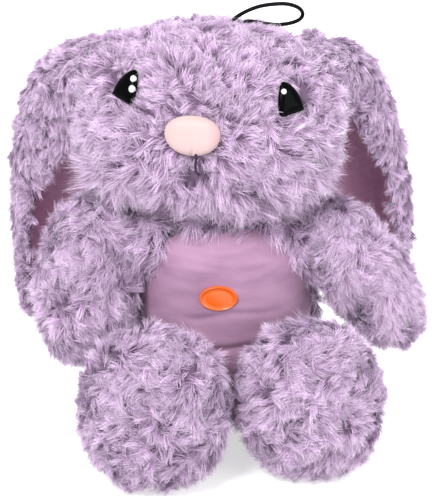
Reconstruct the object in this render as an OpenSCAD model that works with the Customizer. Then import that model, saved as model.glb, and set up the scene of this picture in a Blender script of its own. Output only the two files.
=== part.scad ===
// Seated plush rabbit with a squeeze-to-play voice box in its belly.
// Soft pieces are stuffed fabric covers; every limb, ear and the head turns at its sewn joint.
// +Z is up, the face looks along -Y, and the origin is the middle of the flat seat.

/* [Fabric] */
// Thickness of the fur fabric at the mean height of its pile
cover_t = 3; // [2:0.5:4]
// Thickness of the smooth velour belly panel
panel_t = 2.2; // [1.6:0.1:2.4]
// Clearance of a sewn joint between two moving soft pieces
joint_gap = 0.6; // [0.5:0.1:1]
// Clearance between layers of one stuffed piece
lay_gap = 0.4; // [0.3:0.1:0.8]

/* [Body] */
// Width of the body
body_w = 124; // [114:1:134]
// Depth of the body
body_d = 120; // [114:1:130]
// Height of the body from the seat to the top of the belly
body_h = 157; // [150:1:160]
// Squareness of the stuffed outlines, 2 is a true ellipse
plump = 2.2; // [2:0.1:2.6]
// Squareness of the body's upper half, which gives it shoulders
shoulder_square = 3.8; // [3:0.1:4.4]
// Radius of the ball-shaped neck
neck_r = 26; // [22:1:30]
// Width of the smooth belly panel, as an angle round the body
belly_turn = 124; // [100:2:130]
// Height of the belly panel's lower edge
belly_low = 30; // [24:1:40]
// How far the belly panel ends below the top of the body
belly_drop = 6; // [5:1:12]
// Diameter of the stuffed tail
tail_d = 38; // [30:1:44]
// Height of the tail's middle
tail_z = 40; // [34:1:60]

/* [Head] */
// Width of the head
head_w = 166; // [156:1:176]
// Depth of the head
head_d = 132; // [124:1:140]
// Height of the head
head_h = 126; // [120:1:134]
// How far the face tilts up
head_tilt = 14; // [0:1:20]
// How far the face turns to its own right
head_turn = 6; // [0:1:12]

/* [Face] */
// Width of an eye
eye_w = 17; // [12:1:22]
// Height of an eye
eye_h = 22; // [16:1:26]
// How far the eye's dome stands out
eye_dome = 5; // [3:0.5:7]
// Diameter of the eye's shank
eye_shank_d = 5; // [4:0.5:6]
// Length of the eye's shank
eye_shank_l = 12; // [10:1:16]
// Diameter of the washer that locks an eye
washer_d = 18; // [14:1:20]
// Thickness of that washer
washer_t = 1.4; // [1:0.2:2]
// Width of the nose patch
nose_w = 40; // [30:1:44]
// Height of the nose patch
nose_h = 22; // [16:1:26]
// Thickness of the padded nose patch
nose_t = 3; // [2:0.5:4]
// Length of the stitched mouth line
mouth_l = 12; // [8:1:16]
// Thickness of the mouth thread
mouth_t = 1.6; // [1.2:0.2:2.4]

/* [Ears] */
// Length that an ear hangs down from its root
ear_l = 204; // [196:1:208]
// Width of an ear
ear_w = 38; // [36:1:40]
// Thickness of an ear's furry outer layer
ear_t = 5; // [4:0.5:6]
// Thickness of an ear's satin lining
lining_t = 2; // [1.5:0.5:3]
// Diameter of the rolled seam that an ear hangs from
ear_root_d = 14; // [12:1:18]
// Length of that seam
ear_root_l = 40; // [34:1:44]

/* [Arms] */
// Radius of an arm's ball-shaped shoulder
shoulder_r = 19; // [17:0.5:20]
// Length of an arm's stuffed outline
arm_l = 115; // [108:1:119]
// Radius of an arm near its top
arm_r = 29; // [26:1:30]
// Radius of a paw
paw_r = 32; // [29:1:33]

/* [Legs] */
// Radius of a leg's ball-shaped hip
hip_r = 21; // [18:1:23]
// Width of a foot
foot_w = 94; // [86:1:97]
// Height of a foot
foot_h = 111; // [100:1:116]
// How far a foot's middle lies in front of the seat
foot_reach = 101; // [96:1:110]
// Thickness of a foot from its middle to the sole
foot_d = 32; // [26:1:36]

/* [Voice box] */
// Width of the voice box
box_w = 46; // [44:1:47]
// Height of the voice box
box_h = 40; // [36:1:44]
// Depth of the voice box
box_d = 27; // [26:1:30]
// Wall of the voice box
box_wall = 1.6; // [1.2:0.2:2]
// How far the squeeze badge and the voice box behind it lie below the top of the body
press_drop = 45; // [41:1:51]
// Diameter of the squeeze button
button_d = 15; // [12:1:18]
// How far the button travels
press_travel = 4; // [3:0.5:4.5]
// Width of the oval badge
badge_w = 25; // [20:1:30]
// Height of the oval badge
badge_h = 17; // [14:1:20]
// Thickness of the badge in front of the belly panel
badge_t = 1.2; // [0.8:0.2:2]
// Diameter of the speaker
speaker_d = 24; // [20:1:25]
// Diameter of a button cell
cell_d = 11.6; // [11:0.2:12]
// Height of a button cell
cell_h = 5.4; // [4.8:0.2:5.6]

/* [Hang loop] */
// Thickness of the elastic hang loop
loop_d = 2.2; // [1.6:0.2:3]

/* [Hidden] */
$fn = 48;

lilac = "#b8a2c8";
satin = "#a06a92";
filling = "#f2efe8";
case_grey = "#d8d8d4";

// ---- Shapes shared by the soft pieces ----

// Signed power, which turns a circle into a rounder square
function spow(x, e) = sign(x) * pow(abs(x), e);
// Share of the full radius left at a share t of the height
function bulge(t, p) = pow(max(0, 1 - pow(abs(t), p)), 1 / p);
// One closed ring of points in the plane of u and v
function ring(c, u, v, ru, rv, n, p) = [for (i = [0 : n - 1])
    c + u * ru * spow(cos(360 * i / n), 2 / p) + v * rv * spow(sin(360 * i / n), 2 / p)];
function unit(v) = v / norm(v);
// Smooth curve through the values of a list, at position t from 0 to its last index
function along(list, t) = let (
    k = min(floor(t), len(list) - 2), f = t - k,
    a = list[max(k - 1, 0)], b = list[k], c = list[k + 1], d = list[min(k + 2, len(list) - 1)])
    b + (c - a) * f / 2 + (2 * a - 5 * b + 4 * c - d) * f * f / 2
      + (3 * b - a - 3 * c + d) * f * f * f / 2;

// Closed skin over a row of rings that all have the same number of points
module loft(rings) {
    n = len(rings[0]);
    m = len(rings);
    polyhedron(
        points = [for (r = rings) each r],
        faces = concat(
            [[for (i = [0 : n - 1]) i]],
            [for (j = [0 : m - 2]) for (i = [0 : n - 1]) let (k = (i + 1) % n)
                each [[j * n + i, (j + 1) * n + i, j * n + k],
                      [j * n + k, (j + 1) * n + i, (j + 1) * n + k]]],
            [[for (i = [n - 1 : -1 : 0]) (m - 1) * n + i]]),
        convexity = 6);
}

// Closed slab between two grids of points, front and back, of equal size
module slab(front, back) {
    m = len(front);
    n = len(front[0]);
    edge = concat([for (i = [0 : n - 1]) i], [for (j = [1 : m - 1]) j * n + n - 1],
                  [for (i = [n - 2 : -1 : 0]) (m - 1) * n + i], [for (j = [m - 2 : -1 : 1]) j * n]);
    polyhedron(
        points = concat([for (r = front) each r], [for (r = back) each r]),
        faces = concat(
            [for (j = [0 : m - 2]) for (i = [0 : n - 2]) let (a = j * n + i)
                each [[a, a + n, a + 1], [a + 1, a + n, a + n + 1]]],
            [for (j = [0 : m - 2]) for (i = [0 : n - 2]) let (a = m * n + j * n + i)
                each [[a, a + 1, a + n], [a + 1, a + n + 1, a + n]]],
            [for (i = [0 : len(edge) - 1]) let (a = edge[i], b = edge[(i + 1) % len(edge)])
                each [[a, b, m * n + a], [b, m * n + b, m * n + a]]]),
        convexity = 6);
}

// Stuffed egg shape round an axis from a to b, with radius r0 near a and r1 near b
module stuffed_egg(a, b, r0, r1, inset) {
    w = unit(b - a);
    u = unit(cross([0, 1, 0], w));
    half = norm(b - a) / 2 - inset;
    steps = 11;
    sides = 20;
    loft([for (j = [0 : steps]) let (
        turn = -82 + 164 * j / steps, s = sin(turn),
        r = r0 + (r1 - r0) * (1 + sin(90 * s)) / 2 - inset)
        ring((a + b) / 2 + w * half * s, u, cross(w, u), r * pow(cos(turn), 0.9), r * pow(cos(turn), 0.9),
             sides, 2)]);
}

// ---- Body ----

body_rz = body_h / 2 + 3;
body_cz = body_h - body_rz;
// Squareness of the body's outline, seen from the front, above or below its widest height
function body_p(up) = up ? shoulder_square : plump;
body_cy = 4;
belly_top = body_h - belly_drop;
press_z = body_h - press_drop;
neck_at = [-2, 0, body_h + 3];
hip_y = -body_d / 2 + 24;
hip_x = body_w / 2 - 22;
hip_z = hip_r + 11;
shoulder_x = body_w / 2 - 6.5;
shoulder_y = -14;
shoulder_z = body_h - 21;
tail_y = body_cy + body_d / 2 * bulge((tail_z - body_cz) / body_rz, body_p(tail_z > body_cz))
    + tail_d / 2 - 7;

// Point on the body's skin at a turn from the front and a height, moved outwards by off
function body_at(turn, z, off) = let (
    f = bulge((z - body_cz) / (body_rz + off), body_p(z > body_cz)))
    [(body_w / 2 + off) * f * spow(sin(turn), 2 / plump),
     body_cy - (body_d / 2 + off) * f * spow(cos(turn), 2 / plump), z];

// The body's outline from a flat seat upwards, shrunk by inset
module body_form(inset) {
    rz = body_rz - inset;
    low = -asin((body_cz - inset) / rz);
    below = 5;
    above = 8;
    loft([for (j = [-below : above]) let (
        a = j < 0 ? -low * j / below : 84 * j / above,
        p = body_p(a > 0),
        t = a > 0 ? spow(sin(a), 2 / p) : sin(a))
        ring([0, body_cy, body_cz + rz * t], [1, 0, 0], [0, 1, 0],
             (body_w / 2 - inset) * bulge(t, p), (body_d / 2 - inset) * bulge(t, p), 26, plump)]);
}

// Balls of the neck, shoulders, hips and tail, grown by grow, each with its pole turned outwards
module neck_ball(grow) translate(neck_at) sphere(r = neck_r + grow);
module limb_balls(grow) {
    for (s = [-1, 1]) {
        translate([s * shoulder_x, shoulder_y, shoulder_z]) rotate([0, s * 90, 0])
            sphere(r = shoulder_r + grow);
        translate([s * hip_x, hip_y, hip_z]) rotate([90, 0, 0]) sphere(r = hip_r + grow);
    }
    translate([0, tail_y, tail_z]) rotate([-90, 0, 0]) sphere(r = tail_d / 2 + grow);
}

// The belly panel's slab between two depths, widened by extra
module belly_slab(outer, inner, extra) {
    rows = 14;
    cols = 10;
    mid = (belly_top + belly_low) / 2;
    half = (belly_top - belly_low) / 2 + extra;
    edge_turn = extra / (PI * body_w) * 360;
    function grid(off) = [for (j = [0 : rows]) let (
        v = -1 + 2 * j / rows, w = max(0.42, bulge(v, 2.8)))
        [for (i = [0 : cols]) body_at(
            (-1 + 2 * i / cols) * (belly_turn / 2 * w + edge_turn), mid + v * half, off)]];
    slab(grid(outer), grid(inner));
}

// Oval rod along Y from a front to a back position
module oval_rod(w, h, y_front, y_back) {
    translate([badge_x, y_back, press_z]) rotate([90, 0, 0]) linear_extrude(y_back - y_front)
        polygon([for (i = [0 : 39]) [w / 2 * cos(i * 9), h / 2 * sin(i * 9)]]);
}

module body_cover() {
    color(lilac) difference() {
        union() {
            body_form(0);
            neck_ball(0);
        }
        difference() {
            union() {
                body_form(cover_t);
                neck_ball(-cover_t);
            }
            limb_balls(joint_gap + cover_t);
        }
        limb_balls(joint_gap);
        belly_slab(cover_t * 2, -cover_t * 2, joint_gap);
    }
}

module body_stuffing() {
    inset = cover_t + lay_gap;
    color(filling) difference() {
        union() {
            body_form(inset);
            neck_ball(-inset);
        }
        limb_balls(joint_gap + inset);
        box_room(lay_gap);
        oval_rod(badge_w + 2 * joint_gap, badge_h + 2 * joint_gap, -body_d, box_front);
    }
}

module belly_panel() {
    color(satin) difference() {
        belly_slab(0, -panel_t, 0);
        oval_rod(badge_w + 2 * joint_gap, badge_h + 2 * joint_gap, -body_d, 0);
        limb_balls(joint_gap);
    }
}

module tail_cover() {
    color(lilac) translate([0, tail_y, tail_z]) difference() {
        sphere(d = tail_d);
        sphere(d = tail_d - 2 * cover_t);
    }
}

module tail_stuffing() {
    color(filling) translate([0, tail_y, tail_z]) sphere(d = tail_d - 2 * cover_t - 2 * lay_gap);
}

// ---- Voice box, laid out along Y from its front wall to its back wall ----

badge_x = -5;
belly_y = body_at(0, press_z, 0)[1];
box_front = belly_y + 17;
box_back = box_front + box_d;
box_corner = 6;
board_t = 1.2;
board_y = box_front + 11.4;
rear_y = board_y + board_t;
pad_w = badge_w - 3;
pad_h = badge_h - 1;
button_room = 0.3;
button_flange_d = button_d + 4;
flange_t = 1.6;
button_out = press_travel + 1;
screw_d = 2;
screw_head_d = 3.6;
boss_d = 5;
boss_in = 4.6;
speaker_h = 5;
speaker_x = badge_x + box_w / 2 - box_wall - speaker_d / 2 - 1.5;
cell_x = badge_x - box_w / 2 + box_wall + 3 + cell_d / 2;
cell_y = box_back - box_wall - 0.3 - cell_d / 2;
bay_h = 3 * cell_h + 3;
door_t = 1.4;

// Rounded plate in the XZ plane between two positions along Y
module plate(w, h, corner, y0, y1) {
    translate([badge_x, y1, press_z]) rotate([90, 0, 0]) linear_extrude(y1 - y0) {
        square([w - 2 * corner, h], center = true);
        square([w, h - 2 * corner], center = true);
        for (sx = [-1, 1], sz = [-1, 1])
            translate([sx * (w / 2 - corner), sz * (h / 2 - corner)]) circle(r = corner);
    }
}
// Rod along Y between two positions
module rod(x, z, d, y0, y1) translate([x, y1, z]) rotate([90, 0, 0]) cylinder(d = d, h = y1 - y0);
module at_corners() {
    for (sx = [-1, 1], sz = [-1, 1])
        translate([sx * (box_w / 2 - boss_in), 0, sz * (box_h / 2 - boss_in)]) children();
}

module box_room(grow)
    plate(box_w + 2 * grow, box_h + 2 * grow, box_corner + grow, box_front - grow, box_back + grow);

module voice_box_front() {
    color(case_grey) difference() {
        union() {
            difference() {
                plate(box_w, box_h, box_corner, box_front, board_y);
                plate(box_w - 2 * box_wall, box_h - 2 * box_wall, box_corner - box_wall,
                      box_front + box_wall, board_y + 1);
            }
            at_corners() rod(badge_x, press_z, boss_d, box_front + box_wall / 2, board_y - 0.1);
        }
        rod(badge_x, press_z, button_d + 2 * button_room, box_front - 1, box_front + box_wall + 1);
        at_corners() rod(badge_x, press_z, screw_d + 0.1, box_front + box_wall, board_y + 1);
    }
}

module voice_box_back() {
    hole_d = 2;
    color(case_grey) difference() {
        union() {
            difference() {
                plate(box_w, box_h, box_corner, board_y + 0.1, box_back);
                plate(box_w - 2 * box_wall, box_h - 2 * box_wall, box_corner - box_wall,
                      board_y, box_back - box_wall);
            }
            at_corners() rod(badge_x, press_z, boss_d, rear_y + 0.1, box_back - box_wall / 2);
        }
        at_corners() {
            rod(badge_x, press_z, screw_d + 0.6, board_y, box_back + 1);
            rod(badge_x, press_z, screw_head_d + 0.6, box_back - box_wall - 1, box_back + 1);
        }
        // Sound holes in rings in front of the speaker
        rod(speaker_x, press_z, hole_d, box_back - box_wall - 1, box_back + 1);
        for (turn = [0 : 60 : 300]) rod(speaker_x + 5 * cos(turn), press_z + 5 * sin(turn), hole_d,
                                        box_back - box_wall - 1, box_back + 1);
        for (turn = [0 : 30 : 330]) rod(speaker_x + 9 * cos(turn), press_z + 9 * sin(turn), hole_d,
                                        box_back - box_wall - 1, box_back + 1);
        // Opening over the three cells
        translate([cell_x - cell_d / 2 - 1, box_back - box_wall - 1, press_z - bay_h / 2])
            cube([cell_d + 2, box_wall + 2, bay_h]);
    }
}

module battery_door() {
    color(case_grey) {
        translate([cell_x - cell_d / 2 - 1 + lay_gap, box_back - door_t, press_z - bay_h / 2 + lay_gap])
            cube([cell_d + 2 - 2 * lay_gap, door_t, bay_h - 2 * lay_gap]);
    }
}

module speaker() {
    back = box_back - box_wall - 0.1;
    color("#3a3a3e") translate([speaker_x, back, press_z]) rotate([90, 0, 0]) rotate_extrude()
        polygon([[0, 1.4], [speaker_d / 2 - 3, 0.6], [speaker_d / 2 - 2.5, 0], [speaker_d / 2, 0],
                 [speaker_d / 2, 2], [speaker_d / 4 + 2, 3], [speaker_d / 4 + 2, speaker_h],
                 [0, speaker_h]]);
}

module circuit_board() {
    color("#2f6b3f") difference() {
        union() {
            plate(box_w - 2 * box_wall - 2 * lay_gap, box_h - 2 * box_wall - 2 * lay_gap,
                  box_corner - box_wall - lay_gap, board_y, rear_y);
            // Sealed chip beside the spring's seat
            translate([badge_x + button_d / 2 + 5, board_y, press_z]) rotate([90, 0, 0])
                cylinder(d1 = 8, d2 = 5, h = 1.4);
        }
        at_corners() rod(badge_x, press_z, screw_d + 0.6, board_y - 1, rear_y + 1);
    }
}

// The three cells stand one on another in the bay behind the board
module button_cells() {
    for (k = [-1, 0, 1]) color("#c9c9cc")
        translate([cell_x, cell_y, press_z + (k - 0.5) * cell_h]) {
            cylinder(d = cell_d, h = cell_h - 0.6);
            cylinder(d = cell_d - 2, h = cell_h - 0.1);
        }
}

module battery_contacts() {
    contact_t = 0.4;
    for (s = [-1, 1]) color("#b8923a")
        translate([cell_x, cell_y, press_z + s * (1.5 * cell_h + 0.2 + contact_t / 2)])
            cube([cell_d - 4, cell_d - 2, contact_t], center = true);
}

module box_screws() {
    color("silver") at_corners() {
        rod(badge_x, press_z, screw_head_d, box_back - box_wall - 0.9, box_back - 0.6);
        rod(badge_x, press_z, screw_d, box_front + box_wall + 1, box_back - box_wall);
    }
}

module speaker_wires() {
    wire_d = 1.2;
    for (k = [-1, 1]) color(k < 0 ? "black" : "red")
        rod(speaker_x, press_z + k * (speaker_d / 2 - 2), wire_d, rear_y + 0.1, box_back - box_wall - 3.2);
}

module button_spring() {
    seat = box_front + box_wall + button_room + flange_t;
    turns = 3;
    wire = 0.6;
    coil = button_d / 2 - 2.5;
    rise = (board_y - seat - 0.2 - wire) / turns;
    color("silver") stuffed_wire([for (i = [0 : turns * 10]) [
        badge_x + coil * cos(i * 36), seat + 0.1 + wire / 2 + rise * i / 10, press_z + coil * sin(i * 36)]],
        wire / 2, 5);
}

// Round wire or thread along a list of points
module stuffed_wire(pts, r, sides) {
    n = len(pts);
    function dir(i) = unit(pts[min(i + 1, n - 1)] - pts[max(i - 1, 0)]);
    function side(w) = unit(cross(abs(w.y) > 0.9 ? [0, 0, 1] : [0, 1, 0], w));
    loft([for (i = [0 : n - 1]) let (w = dir(i), u = side(w)) ring(pts[i], u, cross(w, u), r, r, sides, 2)]);
}

module squeeze_button() {
    color("#e8e4da") {
        rod(badge_x, press_z, button_d, box_front - button_out, box_front + box_wall + button_room);
        rod(badge_x, press_z, button_flange_d, box_front + box_wall + button_room,
            box_front + box_wall + button_room + flange_t);
    }
}

module press_pad() {
    color(filling) oval_rod(pad_w, pad_h, belly_y + cover_t, box_front - button_out);
}

module squeeze_badge() {
    color("#f47a1f") oval_rod(badge_w, badge_h, belly_y - badge_t, belly_y + cover_t);
}

// ---- Head ----

head_p = 2.25;
head_lean = 3;
head_at = neck_at + [-6, -8, head_h / 2];
ear_x = head_w / 2 - 20;
ear_up = head_h / 2 - 20;
crown = head_at + [0, 0, head_h / 2];

// Places its children in the head's own frame, whose middle is the head's middle
module in_head() translate(head_at) rotate([0, head_lean, 0]) rotate([0, 0, -head_turn])
    rotate([-head_tilt, 0, 0]) children();

// Point on the face at x across and z up from the head's middle, moved outwards by off
function face_at(x, z, off) = [x, -(head_d / 2 + off) * pow(max(0, 1
    - pow(abs(x) / (head_w / 2 + off), head_p) - pow(abs(z) / (head_h / 2 + off), head_p)), 1 / head_p), z];
// Outward direction of the face there
function face_out(x, z) = let (q = face_at(x, z, 0)) unit([
    spow(x, head_p - 1) / pow(head_w / 2, head_p), spow(q.y, head_p - 1) / pow(head_d / 2, head_p),
    spow(z, head_p - 1) / pow(head_h / 2, head_p)]);

module head_form(inset) {
    steps = 13;
    loft([for (j = [0 : steps]) let (a = -84 + 168 * j / steps)
        ring([0, 0, (head_h / 2 - inset) * spow(sin(a), 2 / head_p)], [1, 0, 0], [0, 1, 0],
             (head_w / 2 - inset) * spow(cos(a), 2 / head_p),
             (head_d / 2 - inset) * spow(cos(a), 2 / head_p), 26, head_p)]);
}

// Turns its children's -Y to the face's outward direction at x, z
module on_face(x, z) {
    n = face_out(x, z);
    translate(face_at(x, z, 0)) rotate([-asin(n.z), 0, atan2(n.x, -n.y)]) children();
}
eye_x = 51.5;
eye_z = 15;
// Depth at which an eye's washer lies flat behind the curved fabric
washer_in = cover_t + 2;
module at_eyes() for (s = [-1, 1]) in_head() on_face(s * eye_x, eye_z) children();

// Grooves for the rolled seams of the ears, grown by grow
module ear_grooves(grow) {
    for (root = ear_roots)
        translate(root + [0, (ear_root_l + 2 * grow) / 2, 0]) rotate([90, 0, 0])
            cylinder(d = ear_root_d + 2 * grow, h = ear_root_l + 2 * grow);
}

module head_cover() {
    color(lilac) difference() {
        in_head() head_form(0);
        difference() {
            in_head() head_form(cover_t);
            neck_ball(joint_gap + cover_t);
            ear_grooves(joint_gap + cover_t);
        }
        neck_ball(joint_gap);
        ear_grooves(joint_gap);
        at_eyes() rotate([-90, 0, 0]) translate([0, 0, -cover_t])
            cylinder(d = eye_shank_d + 2 * lay_gap, h = cover_t * 3);
    }
}

module head_stuffing() {
    inset = cover_t + lay_gap;
    color(filling) difference() {
        in_head() head_form(inset);
        neck_ball(joint_gap + inset);
        ear_grooves(joint_gap + inset);
        at_eyes() rotate([-90, 0, 0]) {
            cylinder(d = eye_shank_d + 2 * lay_gap, h = eye_shank_l + lay_gap);
            cylinder(d = washer_d + 2 * lay_gap, h = washer_in + washer_t + lay_gap);
        }
    }
}

// Domed eye with a flat back, a shank and a point turned outwards
module eye(s) {
    in_head() on_face(s * eye_x, eye_z) {
        rings = 4;
        loft([for (j = [0 : rings]) let (a = 84 * j / rings)
            ring([0, -lay_gap - eye_dome * sin(a), 0], [1, 0, 0], [0, 0, 1],
                 eye_w / 2 * cos(a), eye_h / 2 * cos(a), 24, 1.7)]);
        rotate([-90, 0, 0]) translate([0, 0, -lay_gap - 0.5]) cylinder(d = eye_shank_d, h = eye_shank_l);
    }
}
module left_eye() color("#111116") eye(-1);
module right_eye() color("#111116") eye(1);

module eye_washers() {
    color("#e6e6e6") at_eyes() rotate([-90, 0, 0]) translate([0, 0, washer_in]) difference() {
        cylinder(d = washer_d, h = washer_t);
        translate([0, 0, -1]) cylinder(d = eye_shank_d + lay_gap, h = washer_t + 2);
    }
}

nose_x = -8;
nose_z = -11;
module nose_patch() {
    rows = 8;
    cols = 10;
    function half(v) = nose_w / 2 * (0.66 + 0.34 * v) * max(0.3, bulge(v, 2.4));
    function grid(off) = [for (j = [0 : rows]) let (v = -1 + 2 * j / rows)
        [for (i = [0 : cols]) let (u = -1 + 2 * i / cols)
            face_at(nose_x + u * half(v), nose_z + v * nose_h / 2,
                    off * (1 - 0.7 * max(abs(u), abs(v))))]];
    function flat(off) = [for (j = [0 : rows]) let (v = -1 + 2 * j / rows)
        [for (i = [0 : cols]) let (u = -1 + 2 * i / cols)
            face_at(nose_x + u * half(v), nose_z + v * nose_h / 2, off)]];
    color("#f5cbc4") in_head() slab(grid(nose_t + lay_gap), flat(lay_gap / 2));
}

module mouth_stitch() {
    top = nose_z - nose_h / 2 - 0.5;
    color("#d9b4c4") in_head() stuffed_wire(
        [for (i = [0 : 6]) face_at(nose_x + (i > 4 ? (i - 4) * 0.8 : 0), top - mouth_l * i / 6,
                                   mouth_t / 2 + 0.3)],
        mouth_t / 2, 8);
}

// Route of the elastic hang loop, out of the crown and back into it
loop_route = [for (p = [
    [11, 2, -2.6], [15, 1, 1.3], [22, 0, 5.5], [30, 0, 8.3], [39, 0, 9.6], [47, 1, 9.3],
    [54, 4, 6.3], [57, 7, 2.3], [55, 10, -0.7], [49, 12, -2.4], [41, 13, -3], [33, 13, -2.1],
    [26, 12, -1.1], [21, 11, -1.9], [19.5, 10, -4.8]]) crown + p];
module hang_loop() color("#15151a") stuffed_wire(loop_route, loop_d / 2, 8);

// ---- Ears: each station is a point on the ear's outer line, as a share of its length from the
// root, with its inward depth and its half-width front to back as shares of its width, and how
// many degrees the cup curls to the front and to the back ----

ear_roots = [[-ear_x - 9, 6, head_at.z + ear_up], [ear_x - 7, 6, head_at.z + ear_up - 2]];
root_half = (ear_root_l / 2 - ear_t - 2) / ear_w;
ear_lines = [
    [[[0, 0, 0], 0.03, root_half, 80, 80],
     [[-0.14, 0.03, -0.025], 0.28, 0.5, 86, 80],
     [[-0.26, 0.07, -0.13], 0.8, 0.47, 95, 88],
     [[-0.315, 0.11, -0.29], 0.75, 0.45, 98, 105],
     [[-0.345, 0.13, -0.52], 0.52, 0.45, 88, 115],
     [[-0.345, 0.135, -0.75], 0.34, 0.42, 80, 110],
     [[-0.335, 0.135, -0.92], 0.22, 0.32, 76, 95],
     [[-0.315, 0.135, -1], 0.08, 0.13, 70, 70]],
    [[[0, 0, 0], 0.03, root_half, 80, 80],
     [[0.12, 0.03, -0.02], 0.3, 0.5, 84, 80],
     [[0.21, 0.07, -0.12], 0.66, 0.47, 92, 88],
     [[0.27, 0.11, -0.28], 0.68, 0.45, 92, 105],
     [[0.315, 0.13, -0.48], 0.46, 0.45, 82, 115],
     [[0.335, 0.135, -0.7], 0.28, 0.42, 76, 110],
     [[0.32, 0.135, -0.84], 0.2, 0.32, 72, 95],
     [[0.3, 0.135, -0.9], 0.08, 0.13, 70, 70]]];

// Sheet of an ear between two depths from its middle surface, from the row first on
module ear_sheet(k, outer, inner, first) {
    ear = ear_lines[k];
    side = k == 0 ? -1 : 1;
    rows = 14;
    cols = 12;
    last = len(ear) - 1;
    function spot(t) = ear_roots[k] + ear_l * along([for (e = ear) e[0]], t);
    function out_dir(t) = let (w = unit(spot(min(t + 0.2, last)) - spot(max(t - 0.2, 0))))
        unit([-w.z, 0, w.x]) * side;
    function value(i, t) = along([for (e = ear) e[i]], t);
    function pt(t, u, off) = let (
        turn = u < 0 ? u * value(3, t) : u * value(4, t),
        deep = value(1, t) * ear_w, wide = value(2, t) * ear_w, n = out_dir(t),
        m = unit(n * cos(turn) * wide + [0, 1, 0] * sin(turn) * deep))
        spot(t) - n * deep * (1 - cos(turn)) + [0, 1, 0] * wide * sin(turn) + m * off;
    function grid(off) = [for (j = [first : rows]) let (t = 0.1 + (last - 0.1) * j / rows)
        [for (i = [0 : cols]) pt(t, -1 + 2 * i / cols, off)]];
    if (side < 0) slab(grid(outer), grid(inner));
    else slab(grid(inner), grid(outer));
}
module ear_outer(k) {
    color(lilac) union() {
        ear_sheet(k, ear_t, 0, 0);
        translate(ear_roots[k] + [0, ear_root_l / 2, 0]) rotate([90, 0, 0])
            cylinder(d = ear_root_d, h = ear_root_l);
    }
}
module left_ear_outer() ear_outer(0);
module right_ear_outer() ear_outer(1);
// The lining begins one row on, in front of the rolled seam
module ear_lining(k) {
    color(satin) ear_sheet(k, -lay_gap, -lay_gap - lining_t, 1);
}
module left_ear_lining() ear_lining(0);
module right_ear_lining() ear_lining(1);

// ---- Arms: a shoulder ball sunk in the body, and a long egg that hangs from it ----

left_shoulder = [-shoulder_x, shoulder_y, shoulder_z];
right_shoulder = [shoulder_x, shoulder_y, shoulder_z];
// Middle of each arm, measured from its shoulder, and how far the arm hangs away from upright
left_arm_mid = [-1.285 * arm_r, -0.62 * arm_r, -0.183 * arm_l];
left_arm_out = 4;
// How full each arm lies, near its top and at its paw: the left one is pressed short and wide
left_arm_full = [1.14, 1.1];
right_arm_mid = [1.213 * arm_r, -0.555 * arm_r, -0.135 * arm_l];
right_arm_out = 34;
right_arm_full = [1.03, 0.92];
arm_forward = 18;

module arm_form(shoulder, mid, out, full, inset) {
    w = [sin(out), -sin(arm_forward / 2), -cos(out)] * arm_l / 2;
    stuffed_egg(shoulder + mid - w, shoulder + mid + w, arm_r * full[0], paw_r * full[1], inset);
    translate(shoulder) sphere(r = shoulder_r - inset);
}
module arm_cover(shoulder, mid, out, full) color(lilac) difference() {
    union() arm_form(shoulder, mid, out, full, 0);
    union() arm_form(shoulder, mid, out, full, cover_t);
}
module arm_stuffing(shoulder, mid, out, full)
    color(filling) union() arm_form(shoulder, mid, out, full, cover_t + lay_gap);
module left_arm_cover() arm_cover(left_shoulder, left_arm_mid, -left_arm_out, left_arm_full);
module left_arm_stuffing() arm_stuffing(left_shoulder, left_arm_mid, -left_arm_out, left_arm_full);
module right_arm_cover() arm_cover(right_shoulder, right_arm_mid, right_arm_out, right_arm_full);
module right_arm_stuffing() arm_stuffing(right_shoulder, right_arm_mid, right_arm_out, right_arm_full);

// ---- Legs: a thigh that widens into a tall round foot ----

left_foot_x = -foot_w / 2 + 1;
right_foot_x = foot_w / 2 + 7.5;
// The right foot is drawn back a little
right_foot_back = 13;

module leg_form(side, foot_x, back, inset) {
    start = [side * hip_x, hip_y, hip_z];
    // The leg stays slim until it is clear of the belly's bulge
    clear_y = body_cy - body_d / 2 - 1;
    neck = hip_r - 6;
    foot_y = back - foot_reach;
    foot_z = foot_h / 2;
    function flat(pts) = [for (q = pts) [q.x, q.y, max(q.z, inset)]];
    function cut(x, y, z, rx, rz) = flat(ring([x, y, z], [1, 0, 0], [0, 0, 1],
        rx - inset, rz - inset, 20, 2.1));
    loft(concat(
        [cut(start.x, start.y, start.z, neck, neck)],
        [for (j = [0 : 6]) let (t = j / 6, s = sin(90 * t))
            cut(start.x + (foot_x - start.x) * s, clear_y + (foot_y - clear_y) * t,
                start.z + (foot_z - start.z) * pow(s, 1.4),
                neck + (foot_w / 2 - neck) * s, neck + (foot_h / 2 - neck) * s)],
        [for (j = [1 : 5]) let (a = 84 * j / 5, c = pow(cos(a), 0.85))
            cut(foot_x, foot_y - (foot_d - inset) * sin(a), foot_z + 4 * sin(a),
                inset + (foot_w / 2 - inset) * c, inset + (foot_h / 2 - inset) * c)]));
    translate(start) sphere(r = hip_r - inset);
}
module leg_cover(side, foot_x, back) color(lilac) difference() {
    union() leg_form(side, foot_x, back, 0);
    union() leg_form(side, foot_x, back, cover_t);
}
module leg_stuffing(side, foot_x, back)
    color(filling) union() leg_form(side, foot_x, back, cover_t + lay_gap);
module left_leg_cover() leg_cover(-1, left_foot_x, 0);
module left_leg_stuffing() leg_stuffing(-1, left_foot_x, 0);
module right_leg_cover() leg_cover(1, right_foot_x, right_foot_back);
module right_leg_stuffing() leg_stuffing(1, right_foot_x, right_foot_back);

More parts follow.
